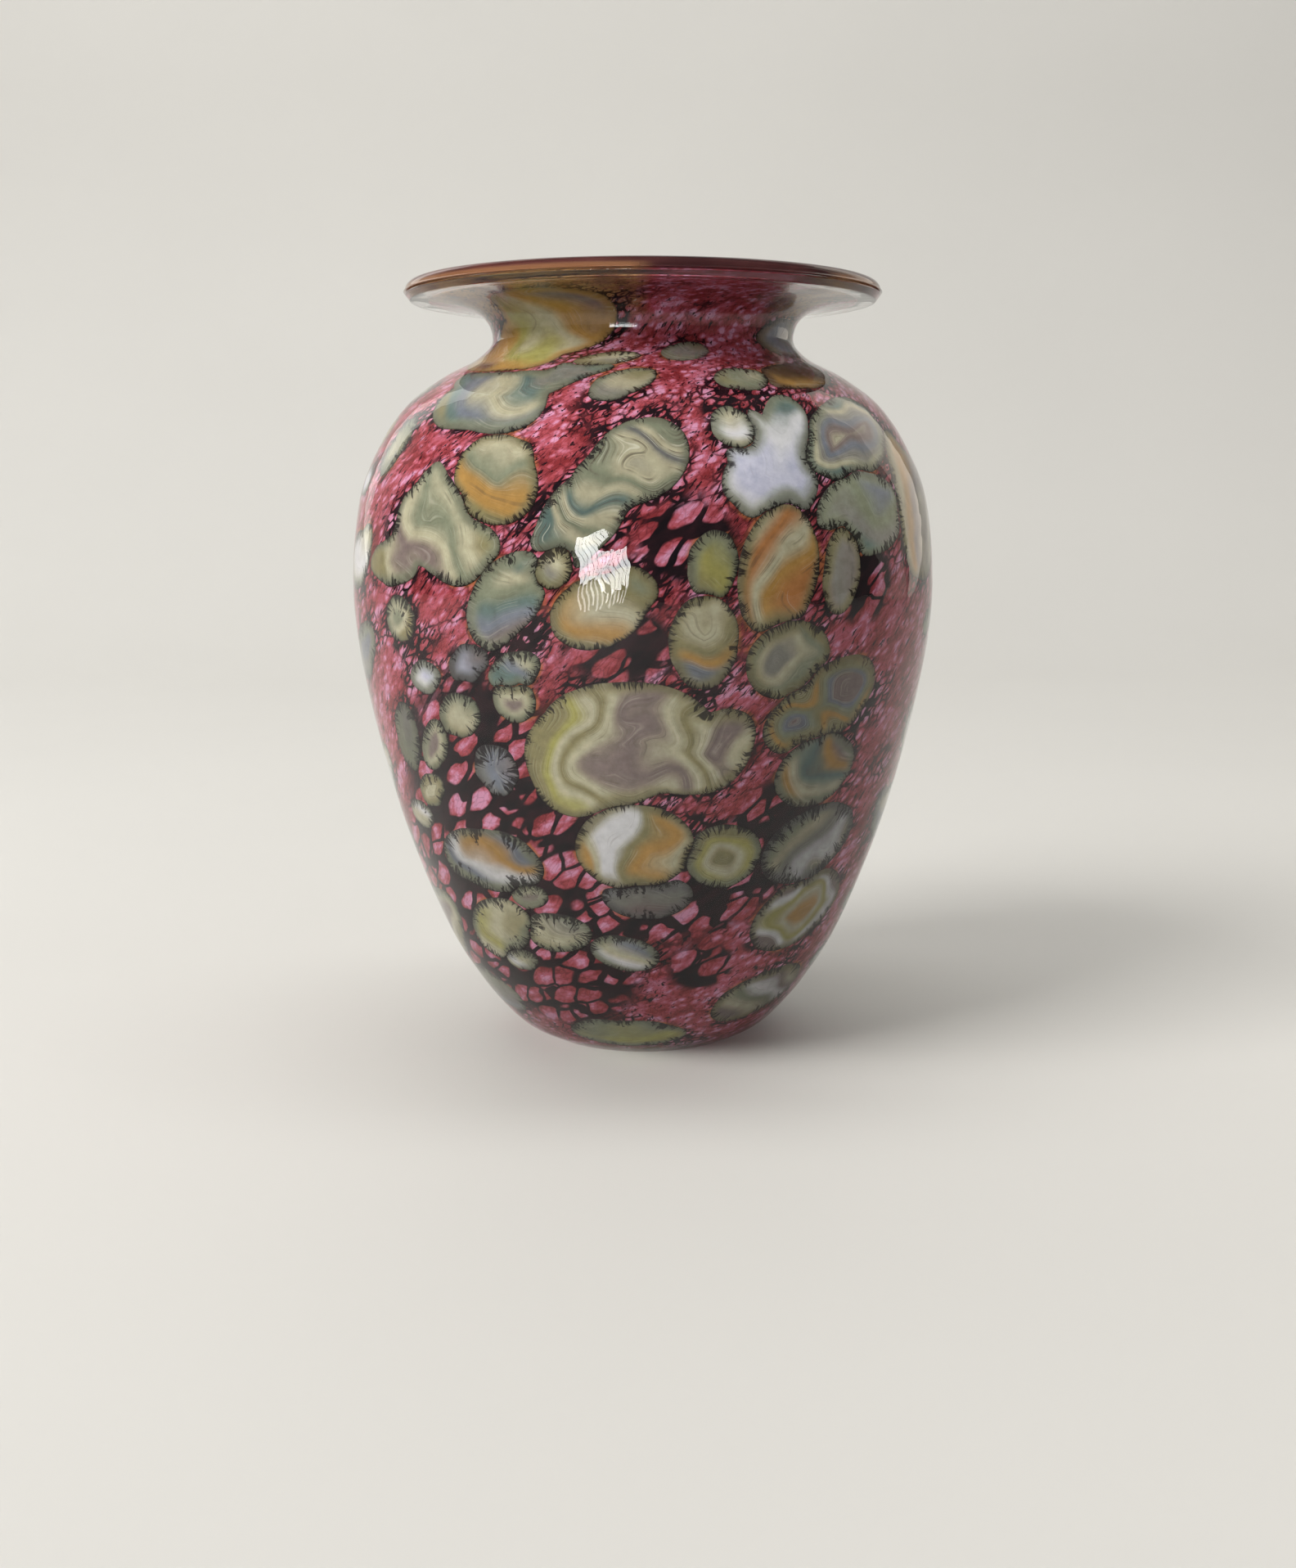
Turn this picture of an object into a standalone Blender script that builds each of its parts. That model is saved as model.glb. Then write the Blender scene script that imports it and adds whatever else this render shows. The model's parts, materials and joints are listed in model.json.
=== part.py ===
"""Hand blown art glass vase, built up in the layers that a glassblower gathers.

From the inside out: an opal inner liner, a ruby colour ground, flat chips of reactive glass, and a
thick clear casing. A plum lip wrap closes the edge of the flared rim. Every layer is a turned shell
and every chip is its own curved slab. Sizes below are in millimetres; the model is in metres, +Z up,
with its origin at the middle of the foot.
"""
import math

import bmesh
import bpy
from mathutils import Vector

MM = 0.001

# Driving dimensions
HEIGHT = 180.0
RIM_RADIUS = 55.8
RIM_EDGE_RADIUS = 2.0
LIP_SHELL_RADIUS = 50.4
FIT_GAP = 0.3
GROUND_THICKNESS = 0.8
GROUND_THICKNESS_AT_LIP = 0.5
CHIP_THICKNESS = 0.6
CHIP_LIFT = 0.5
CHIP_SAG = 0.2
LOBE_SHARPNESS = 7.0
TURN_STEPS = 32

# Stations of the wall: outer radius and height, inner radius and height, casing thickness, and the
# pocket between the casing and the ground, which the chips lie in.
FOOT_STATIONS = [
    (0.0, 1.2, 0.0, 14.0, 4.6, 1.7),      # middle of the polished pontil mark
    (9.0, 0.8, 8.0, 14.0, 4.6, 1.7),
    (16.0, 0.0, 13.0, 14.1, 4.6, 1.7),    # inner edge of the foot ring
]
WALL_STATIONS = [
    (25.6, 0.0, 20.0, 14.6, 4.4, 1.7),    # outer edge of the foot ring
    (31.7, 3.6, 27.0, 16.8, 4.0, 1.7),
    (38.3, 10.8, 32.4, 19.8, 3.4, 1.7),
    (43.3, 18.0, 36.7, 23.4, 3.0, 1.7),
    (49.2, 28.8, 42.5, 32.6, 2.8, 1.7),
    (57.6, 50.4, 50.7, 52.8, 2.8, 1.7),
    (63.7, 72.0, 56.6, 73.9, 2.8, 1.7),
    (68.1, 93.6, 60.9, 94.7, 2.8, 1.7),
    (69.5, 109.8, 62.2, 109.8, 2.8, 1.7),  # belly
    (68.2, 126.0, 61.0, 124.8, 2.8, 1.7),
    (65.3, 136.8, 58.4, 134.4, 2.8, 1.7),
    (59.4, 147.6, 53.5, 143.3, 2.8, 1.7),  # shoulder
    (54.8, 153.0, 49.8, 147.9, 2.7, 1.7),
    (47.2, 158.4, 44.0, 152.3, 2.5, 1.7),
    (40.2, 162.0, 36.9, 156.6, 2.0, 1.7),
    (36.4, 165.2, 31.6, 162.2, 1.5, 1.7),
    (35.6, 167.8, 30.0, 167.6, 1.3, 1.7),  # neck
    (36.6, 171.0, 32.2, 173.8, 1.2, 1.6),
    (39.2, 173.4, 36.8, 177.6, 1.2, 1.0),
    (44.0, 174.9, 43.1, 179.4, 1.2, 0.5),
    (50.4, 175.7, 50.2, 180.0, 1.2, 0.3),  # lip
]
LONG_SPAN = 10.0

# Chips: name, azimuth of the centre in degrees (0 is the front, positive to the right), height of
# the centre, colour, and lobes. A lobe is an ellipse laid on the wall: centre x and y, half length,
# half width and tilt in degrees.
OLIVE = (0.33, 0.32, 0.17)
SAGE = (0.27, 0.33, 0.24)
TEAL = (0.16, 0.25, 0.24)
AMBER = (0.52, 0.27, 0.09)
CREAM = (0.55, 0.52, 0.38)
MAUVE = (0.27, 0.21, 0.22)
LAVENDER = (0.50, 0.50, 0.60)
SLATE = (0.24, 0.26, 0.28)

CHIPS = [
    ("chip_neck_amber", -42, 165.5, AMBER, [(0, 0, 16.5, 8, 0), (-9, -5, 12, 5, 0)]),
    ("chip_shoulder_teal", -40, 150.5, TEAL, [(0, 0, 15, 8, 8), (13, 6, 9, 4, 30)]),
    ("chip_collar_grey", -5, 153.5, SLATE, [(0, 0, 7, 3.4, 30)]),
    ("chip_collar_pebble", 14, 160.2, SLATE, [(0, 0, 5.5, 3.4, 25)]),
    ("chip_amber_stripe", -30, 136, AMBER, [(0, 0, 8.8, 7, 15), (3.5, -4.5, 4.5, 3.6, -30)]),
    ("chip_olive_wing", -45, 123, OLIVE, [(1, 2, 11, 8, 20), (-11, -6, 8, 4.5, 40), (8, -6, 7, 4.3, -25),
                                          (0, 10, 4.4, 5, 0)]),
    ("chip_left_round", -52.5, 104.5, SAGE, [(0, 0, 5, 4.6, 0)]),
    ("chip_blue_green", -27, 108.5, TEAL, [(0, 0, 9.5, 6.5, 60), (5, 7, 5, 3.5, 50)]),
    ("chip_lilac", -34.4, 96.2, LAVENDER, [(0, 0, 5.5, 3.4, 25)]),
    ("chip_zebra", -9, 130, SAGE, [(-3, -3, 9, 6.5, 60), (7, 7, 11, 6.5, 25)]),
    ("chip_window_oval", -8.5, 108, AMBER, [(0, 0, 9.5, 6, 28)]),
    ("chip_white_kite", 25, 136, LAVENDER, [(-2, -2, 9, 6, 10), (5.5, 6, 10, 4.5, 50)]),
    ("chip_collar_green", 26, 154, SAGE, [(0, 0, 6.5, 3.6, 15)]),
    ("chip_mauve_shoulder", 47.6, 143.3, MAUVE, [(0, 0, 9.5, 6, 10)]),
    ("chip_teal_shoulder", 47.5, 128.5, TEAL, [(0, 0, 9.5, 7.6, 0)]),
    ("chip_mauve_drop", 39.3, 115, MAUVE, [(0, 0, 3.6, 6, -10)]),
    ("chip_neck_ochre", 48, 156, AMBER, [(0, 0, 9, 2.1, 3)]),
    ("chip_neck_grey", 64, 165.5, SLATE, [(0, 0, 10, 6, 15)]),
    ("chip_orange", 25.3, 115.2, AMBER, [(0, 0, 11.8, 7.4, 68)]),
    ("chip_olive_seed", 28, 97.2, OLIVE, [(0, 0, 9, 6.8, 20)]),
    ("chip_lime_seed", 12.5, 116.8, OLIVE, [(0, 0, 4, 5.2, -10)]),
    ("chip_banded_blue", 11, 101, SLATE, [(0, 0, 6.2, 8.2, 0)]),
    ("chip_front_plaque", -6, 78.5, OLIVE, [(-2, -0.5, 17, 12.5, 10), (19, -2, 10.5, 7.5, 10),
                                            (6, 4, 12, 8, -10)]),
    ("chip_agate_white", -2.5, 56.3, CREAM, [(0, 0, 10.6, 7.6, -5)]),
    ("chip_grey_mauve", 1, 44.2, MAUVE, [(0, 0, 8.6, 3.8, 0)]),
    ("chip_round_olive", 18.3, 54, OLIVE, [(0, 0, 8.2, 6.5, 0)]),
    ("chip_olive_mauve", 38.8, 87.5, OLIVE, [(0, 0, 13, 7.2, 22)]),
    ("chip_green_amber", 38.5, 71.8, SAGE, [(0, 0, 9, 6, 20)]),
    ("chip_feather_grey", 42, 55.4, SLATE, [(0, 0, 11.5, 6.4, 20)]),
    ("chip_gold_swirl", 46, 38.5, OLIVE, [(0, 0, 13, 8.4, 8)]),
    ("chip_base_cream", 45, 17.5, CREAM, [(0, 0, 12, 6.2, 5)]),
    ("chip_base_green", -8, 8.6, SAGE, [(0, 0, 12, 5, 0)]),
    ("chip_base_blue", -64, 15.5, SLATE, [(0, 0, 9, 6, -10)]),
    ("chip_gold_fleck", -39, 52, TEAL, [(5, 2, 8, 5, -5), (-6, -2, 9, 4.2, 10)]),
    ("chip_cream_left", -43, 34.5, CREAM, [(0, 0, 6.6, 6, 0), (3, 3, 6, 4, 30)]),
    ("chip_feather_low", -23.5, 34.3, SAGE, [(0, 0, 7, 3.6, 0)]),
    ("chip_white_low", -5, 30.6, CREAM, [(0, 0, 7.4, 3.3, -12)]),
    ("chip_grey_round", -31.3, 73, SLATE, [(0, 0, 5, 5.4, 0)]),
    ("chip_green_upper", -38.5, 84.5, SAGE, [(0, 0, 5.8, 4.4, 20)]),
    ("chip_left_sage", -57.5, 78, SAGE, [(0, 0, 8, 4.6, 75)]),
    ("chip_left_edge", -64, 141, TEAL, [(0, 0, 4, 7.6, -20)]),
    ("chip_right_amber", 70, 127, AMBER, [(0, 0, 12, 15, 0)]),
    ("chip_side_orange", 93, 101, AMBER, [(0, 0, 8, 11, 12)]),
    ("chip_side_cream", 104, 78, CREAM, [(0, 0, 12, 8, 15)]),
    ("chip_side_gold", 96, 45, OLIVE, [(0, 0, 11, 8, -8)]),
    ("chip_side_teal", 114, 141, TEAL, [(0, 0, 13, 8, 15)]),
    ("chip_back_amber", 146, 112, AMBER, [(0, 0, 13, 8, 52)]),
    ("chip_back_lime", 146, 54, SAGE, [(0, 0, 10, 7, 25)]),
    ("chip_back_plaque", 178, 82, OLIVE, [(-4, 0, 16, 11, -8), (12, 4, 9, 7, 20)]),
    ("chip_back_teal", 182, 132, TEAL, [(0, 0, 14, 8, 18)]),
    ("chip_back_neck", 172, 164.5, AMBER, [(0, 0, 13, 6.5, 8)]),
    ("chip_back_agate", 194, 50, CREAM, [(0, 0, 11, 8, -6)]),
    ("chip_back_base", 168, 19, SAGE, [(0, 0, 11, 6, 4)]),
    ("chip_back_olive", 222, 108, OLIVE, [(0, 0, 13, 9, -38)]),
    ("chip_back_mauve", 238, 72, MAUVE, [(0, 0, 12, 8, 18)]),
]


def catmull_rom(before, start, end, after, amount):
    """One point of the smooth curve between start and end; each point is a tuple of numbers."""
    square = amount * amount
    cube = square * amount
    return tuple(
        0.5 * (2 * b + (c - a) * amount + (2 * a - 5 * b + 4 * c - d) * square
               + (3 * b - a - 3 * c + d) * cube)
        for a, b, c, d in zip(before, start, end, after))


def smooth_stations(stations, steps_of_span):
    """Stations with smooth in-between ones; steps_of_span says how many steps a span takes."""
    def ghost(near, far):
        return tuple(2 * n - f for n, f in zip(near, far))

    padded = [ghost(stations[0], stations[1])] + stations + [ghost(stations[-1], stations[-2])]
    smooth = []
    for index in range(len(stations) - 1):
        before, start, end, after = padded[index:index + 4]
        steps = steps_of_span(start, end)
        for step in range(steps):
            smooth.append(catmull_rom(before, start, end, after, step / steps))
    smooth.append(stations[-1])
    return smooth


def shell_steps(start, end):
    """Long spans of a shell are halved, short ones are left straight."""
    length = math.hypot(end[0] - start[0], end[1] - start[1])
    return 2 if length > LONG_SPAN else 1


def fine_steps(start, end):
    return 12


def at_depth(station, depth):
    """Radius and height of the point that lies depth below the outer surface at a station."""
    outer = Vector(station[0:2])
    inner = Vector(station[2:4])
    return tuple(outer + (inner - outer).normalized() * depth)


def ground_thickness(station):
    """The ground thins where the pocket closes towards the lip."""
    pocket = station[5]
    return GROUND_THICKNESS if pocket > 1.0 else GROUND_THICKNESS_AT_LIP


def ground_depths(station):
    """Depths of the ground's outer and inner face."""
    outer = station[4] + station[5]
    return outer, outer + ground_thickness(station)


def make_material(name, colour, roughness, alpha=1.0):
    material = bpy.data.materials.new(name)
    material.use_nodes = True
    shader = material.node_tree.nodes["Principled BSDF"]
    shader.inputs["Base Color"].default_value = (*colour, 1.0)
    shader.inputs["Roughness"].default_value = roughness
    shader.inputs["Metallic"].default_value = 0.0
    shader.inputs["Alpha"].default_value = alpha
    material.diffuse_color = (*colour, alpha)
    return material


def make_object(name, mesh, material, parent):
    part = bpy.data.objects.new(name, mesh)
    bpy.context.scene.collection.objects.link(part)
    mesh.materials.append(material)
    part.parent = parent
    return part


def turned(name, outline, closed, material, parent):
    """A body of revolution from an outline of (radius, height) points in millimetres."""
    mesh = bpy.data.meshes.new(name)
    work = bmesh.new()
    verts = [work.verts.new((radius * MM, 0.0, height * MM)) for radius, height in outline]
    pairs = list(zip(verts, verts[1:]))
    if closed:
        pairs.append((verts[-1], verts[0]))
    edges = [work.edges.new(pair) for pair in pairs]
    bmesh.ops.spin(work, geom=verts + edges, cent=(0, 0, 0), axis=(0, 0, 1), angle=2 * math.pi,
                   steps=TURN_STEPS, use_merge=True)
    bmesh.ops.remove_doubles(work, verts=work.verts, dist=0.01 * MM)
    bmesh.ops.recalc_face_normals(work, faces=work.faces)
    work.to_mesh(mesh)
    work.free()
    mesh.shade_smooth()
    mesh.set_sharp_from_angle(angle=math.radians(50))
    return make_object(name, mesh, material, parent)


def arc(centre, radius, start, end, steps):
    """Points of an arc; the angles are in degrees."""
    points = []
    for step in range(steps + 1):
        angle = math.radians(start + (end - start) * step / steps)
        points.append((centre[0] + radius * math.cos(angle), centre[1] + radius * math.sin(angle)))
    return points


def clear_casing(stations, material, parent):
    """The thick outer gather, from the pontil mark to the rounded lower half of the rim."""
    outer = [station[0:2] for station in stations]
    inner = [at_depth(station, station[4]) for station in stations]
    shelf = HEIGHT - RIM_EDGE_RADIUS - 2 * FIT_GAP
    centre = (RIM_RADIUS - RIM_EDGE_RADIUS, shelf)
    tip = arc(centre, RIM_EDGE_RADIUS - FIT_GAP, -75, 0, 3)
    return turned("clear_casing", outer + tip + [(LIP_SHELL_RADIUS + FIT_GAP, shelf)] + inner[::-1],
                  False, material, parent)


def colour_ground(stations, coarse, material, parent):
    """The thin ruby and black layer that the chips are fused on; its back is left coarser."""
    outer = [at_depth(station, ground_depths(station)[0]) for station in stations]
    inner = [at_depth(station, ground_depths(station)[1]) for station in coarse]
    return turned("colour_ground", outer + inner[::-1], False, material, parent)


def inner_liner(stations, material, parent):
    """The first gather, which forms the inside of the vessel and the top of the lip."""
    outer = [at_depth(station, ground_depths(station)[1] + FIT_GAP) for station in stations]
    inner = [station[2:4] for station in stations]
    return turned("inner_liner", outer + inner[::-1], False, material, parent)


def lip_wrap(material, parent):
    """The plum thread that is wound on the upper half of the rim."""
    centre_height = HEIGHT - RIM_EDGE_RADIUS
    floor = centre_height - FIT_GAP
    inside = LIP_SHELL_RADIUS + 2 * FIT_GAP
    edge = arc((RIM_RADIUS - RIM_EDGE_RADIUS, centre_height), RIM_EDGE_RADIUS, 0, 90, 4)
    outline = [(inside, floor), (RIM_RADIUS, floor)] + edge + [(inside, HEIGHT)]
    return turned("lip_wrap", outline, True, material, parent)


class Wall:
    """The curved band that the chips lie on, measured along the ground's outer face."""

    def __init__(self, stations):
        self.floor = []
        self.top = []
        for station in stations:
            depth = ground_depths(station)[0] - CHIP_LIFT
            self.floor.append(Vector(at_depth(station, depth)))
            self.top.append(Vector(at_depth(station, depth - CHIP_THICKNESS)))
        self.travel = [0.0]
        for near, far in zip(self.floor, self.floor[1:]):
            self.travel.append(self.travel[-1] + (far - near).length)

    def travel_at_height(self, height):
        """Distance along the wall from the foot to a height."""
        for index in range(len(self.floor) - 1):
            low, high = self.floor[index].y, self.floor[index + 1].y
            if low <= height <= high:
                share = (height - low) / (high - low)
                return self.travel[index] + share * (self.travel[index + 1] - self.travel[index])
        raise ValueError("height is off the wall")

    def place(self, azimuth, travel, across, on_top):
        """World point at a travel along the wall and a distance across it, in metres."""
        index = max(i for i, value in enumerate(self.travel[:-1]) if value <= max(travel, 0.0))
        share = (travel - self.travel[index]) / (self.travel[index + 1] - self.travel[index])
        floor = self.floor[index].lerp(self.floor[index + 1], share)
        radius, height = self.top[index].lerp(self.top[index + 1], share) if on_top else floor
        angle = azimuth + across / floor.x
        return Vector((radius * math.sin(angle), -radius * math.cos(angle), height)) * MM


def lobe_strength(x, y, lobes):
    """One or more inside the joined outline of the lobes, less outside it."""
    total = 0.0
    for centre_x, centre_y, half_length, half_width, tilt in lobes:
        turn = math.radians(tilt)
        along = (x - centre_x) * math.cos(turn) + (y - centre_y) * math.sin(turn)
        aside = (y - centre_y) * math.cos(turn) - (x - centre_x) * math.sin(turn)
        distance = math.hypot(along / half_length, aside / half_width)
        total += math.exp(LOBE_SHARPNESS * (1.0 - distance))
    return total


def lobe_reach(lobes):
    return max(math.hypot(lobe[0], lobe[1]) + lobe[2] + lobe[3] for lobe in lobes)


def chip_outline(lobes, count):
    """Points round a chip, found along rays from its centre."""
    points = []
    for index in range(count):
        angle = 2 * math.pi * index / count
        direction = Vector((math.cos(angle), math.sin(angle)))
        step = 0.2
        radius = lobe_reach(lobes)
        while lobe_strength(*(direction * radius), lobes) < 1.0:
            radius -= step
        points.append(direction * radius)
    return points


def chip_detail(lobes, radius):
    """Outline points and rings of a chip; the rings follow a wall of this radius closely."""
    reach = max(math.hypot(lobe[0], lobe[1]) + lobe[2] for lobe in lobes)
    ring_step = math.sqrt(8 * CHIP_SAG * radius)
    rings = math.ceil(reach / ring_step)
    count = 10 if reach < 6 else 12 if reach < 11 else 16
    return count, rings


def chip(name, azimuth, height, colour, lobes, wall, parent):
    """A thin curved slab: rings of points on its floor and its top, joined round the outline."""
    start = wall.travel_at_height(height)
    count, rings = chip_detail(lobes, wall.place(0.0, start, 0.0, False).xy.length / MM)
    outline = chip_outline(lobes, count)
    turn = math.radians(azimuth)
    mesh = bpy.data.meshes.new(name)
    work = bmesh.new()
    edges_of_skin = []
    for on_top in (False, True):
        centre = work.verts.new(wall.place(turn, start, 0.0, on_top))
        inside = None
        for ring in range(1, rings + 1):
            scale = ring / rings
            current = [work.verts.new(wall.place(turn, start + point.y * scale, point.x * scale, on_top))
                       for point in outline]
            for index in range(count):
                after = (index + 1) % count
                if inside is None:
                    work.faces.new((centre, current[index], current[after]))
                else:
                    work.faces.new((inside[index], current[index], current[after], inside[after]))
            inside = current
        edges_of_skin.append(inside)
    floor_edge, top_edge = edges_of_skin
    for index in range(count):
        after = (index + 1) % count
        work.faces.new((floor_edge[index], floor_edge[after], top_edge[after], top_edge[index]))
    bmesh.ops.recalc_face_normals(work, faces=work.faces)
    work.to_mesh(mesh)
    work.free()
    mesh.shade_smooth()
    mesh.set_sharp_from_angle(angle=math.radians(50))
    return make_object(name, mesh, make_material(name, colour, 0.35), parent)


def main():
    for existing in list(bpy.context.scene.objects):
        bpy.data.objects.remove(existing, do_unlink=True)
    vase = bpy.data.objects.new("vase", None)
    bpy.context.scene.collection.objects.link(vase)

    coarse = FOOT_STATIONS + WALL_STATIONS
    stations = FOOT_STATIONS + smooth_stations(WALL_STATIONS, shell_steps)
    inner_liner(coarse, make_material("liner_glass", (0.75, 0.60, 0.58), 0.15), vase)
    colour_ground(stations, coarse, make_material("ground_glass", (0.50, 0.07, 0.13), 0.25), vase)
    clear_casing(stations, make_material("casing_glass", (0.93, 0.94, 0.93), 0.05, alpha=0.35), vase)
    lip_wrap(make_material("wrap_glass", (0.10, 0.03, 0.06), 0.08), vase)

    wall = Wall(smooth_stations(WALL_STATIONS, fine_steps))
    for name, azimuth, height, colour, lobes in CHIPS:
        chip(name, azimuth, height, colour, lobes, wall, vase)


main()
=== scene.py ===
"""Looks of the hand blown art glass vase: clear casing, banded chips, ruby ground, plum lip wrap.

Lengths in the named values are millimetres. Places on the wall are given by azimuth in degrees
(0 is the front, positive to the right) and height.
"""
import json
import math

import bmesh
import bpy
import numpy as np
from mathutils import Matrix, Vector


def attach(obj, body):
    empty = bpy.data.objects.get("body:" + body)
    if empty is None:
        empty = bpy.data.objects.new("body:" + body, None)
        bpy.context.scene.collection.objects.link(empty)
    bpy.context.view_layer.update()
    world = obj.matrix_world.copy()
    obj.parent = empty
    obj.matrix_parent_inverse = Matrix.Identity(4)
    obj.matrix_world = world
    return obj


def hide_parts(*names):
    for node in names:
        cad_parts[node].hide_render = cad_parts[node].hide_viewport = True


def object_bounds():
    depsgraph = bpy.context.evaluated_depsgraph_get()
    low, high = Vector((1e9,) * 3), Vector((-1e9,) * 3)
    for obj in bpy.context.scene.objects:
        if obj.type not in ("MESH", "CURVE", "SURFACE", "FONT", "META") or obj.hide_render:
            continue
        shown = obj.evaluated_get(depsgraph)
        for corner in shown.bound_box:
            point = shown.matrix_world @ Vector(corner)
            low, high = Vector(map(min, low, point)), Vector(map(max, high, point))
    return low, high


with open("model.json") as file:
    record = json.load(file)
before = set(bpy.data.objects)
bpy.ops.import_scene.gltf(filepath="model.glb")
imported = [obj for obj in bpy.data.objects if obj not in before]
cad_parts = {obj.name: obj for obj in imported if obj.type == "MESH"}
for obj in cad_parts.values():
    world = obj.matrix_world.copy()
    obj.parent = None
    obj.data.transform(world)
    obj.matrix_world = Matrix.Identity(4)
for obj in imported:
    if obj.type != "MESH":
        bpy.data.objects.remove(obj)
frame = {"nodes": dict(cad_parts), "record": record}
cad_low, cad_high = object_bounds()

MM = 0.001
NODES = frame["nodes"]
HEIGHT = (cad_high.z - cad_low.z) / MM
REACH = cad_high.x / MM                      # the body's greatest radius


# ---------------------------------------------------------------- frame geometry

def turned_profile(name):
    """Ordered (radius, height) points of a turned CAD node, from its lowest point on the axis."""
    mesh = NODES[name].data
    places = [vertex.co / MM for vertex in mesh.vertices]
    keys = [(round(p.x, 2), round(p.y, 2), round(p.z, 2)) for p in places]
    in_plane = {key for key in keys if abs(key[0]) < 0.05 and key[1] < 0.05}
    links = {key: set() for key in in_plane}
    for edge in mesh.edges:
        first, second = keys[edge.vertices[0]], keys[edge.vertices[1]]
        if first != second and first in in_plane and second in in_plane:
            links[first].add(second)
            links[second].add(first)
    start = min(in_plane, key=lambda key: (abs(key[1]) > 0.05, key[2]))
    chain = [start]
    before = None
    while True:
        onward = [key for key in links[chain[-1]] if key != before and key != start]
        if not onward:
            break
        before = chain[-1]
        chain.append(onward[0])
        if len(onward) > 1 and len(chain) > 2:
            break
    return np.array([(-key[1], key[2]) for key in chain])


def smooth_curve(points, steps, closed=False):
    """Catmull-Rom points through rows of numbers, with the same steps in every span."""
    if closed:
        padded = np.vstack([points[-1], points, points[0], points[1]])
    else:
        padded = np.vstack([2 * points[0] - points[1], points, 2 * points[-1] - points[-2]])
    share = np.linspace(0, 1, steps, endpoint=False)[:, None]
    square, cube = share ** 2, share ** 3
    rows = []
    for a, b, c, d in zip(padded, padded[1:], padded[2:], padded[3:]):
        rows.append(0.5 * (2 * b + (c - a) * share + (2 * a - 5 * b + 4 * c - d) * square
                           + (3 * b - a - 3 * c + d) * cube))
    rows = np.vstack(rows)
    return rows if closed else np.vstack([rows, points[-1]])


CASING = turned_profile("clear_casing")
GROUND = turned_profile("colour_ground")
LINER = turned_profile("inner_liner")
WRAP = turned_profile("lip_wrap")
STATIONS = int(GROUND[:, 1].argmax())        # stations shared by all layers, foot to lip
FOOT_EDGE = 3                                # the station at the sharp outer edge of the foot ring
BED = 0.55                                   # ground level in the chip pocket, 0 casing, 1 CAD ground
CHIP_TOP = 0.36                              # levels of a chip's outer and inner face
CHIP_ROOT = 0.70
CASING_INSIDE = 0.8                          # level of the casing's inner face, hidden in the ground
GROUND_AROUND = 320                          # points round the ground
TURNED_AROUND = 256                          # points round the casing, the liner and the wrap
ROW_STEP = 0.85                              # between two rows of the wall
RAYS = np.linspace(-math.pi, math.pi, 180, endpoint=False)     # along these a chip's reach is known
SLANT = 0.85                                 # a true gap's share of the gap measured along a ray
FAR = 99.0                                   # stands for no limit
NEAR_LIMIT = 9.0                             # ground farther than this from every chip counts as this far
REACH_STEP = 0.3                             # between the reaches tried when a chip spreads
WIDEST_REACH = 34.0
KEPT_SHARE = 0.75                            # the share of its first reach that a chip keeps anyway
SMOOTH_RAYS = 6                              # rays on each side that smooth a spread chip's edge
SMOOTH_WIDTH = 2.4
EDGE_WAVES = 0.14                            # size of the small waves along a chip's edge
CHIP_GAP = 0.25                              # left free between two chips that spread
FRONT_GROWTH = 0.8                           # how far a chip spreads all round, where the wall is free
BACK_GROWTH = 3.2
EDGE_STEP = 0.8                              # between two points on a chip's edge
RING_STEP = 1.1                              # between the rings of points in a chip's flat middle
RIM_START = 1.4                              # from the edge to the last of those rings
RIM_RINGS = (0.9, 0.5, 0.2, 0.0)             # the rings of the rounded rim, from the edge
SCATTER_TRIES = 1200
SCATTER_TURN = (72.0, 288.0)                 # azimuths of the sides and the back
SCATTER_HEIGHT = (9.0, 158.0)
SCATTER_GAP = 3.6                            # left free round a scattered chip at first
LINE_SPACING = 0.55                          # between the fine lines in a chip, before they bend


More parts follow.
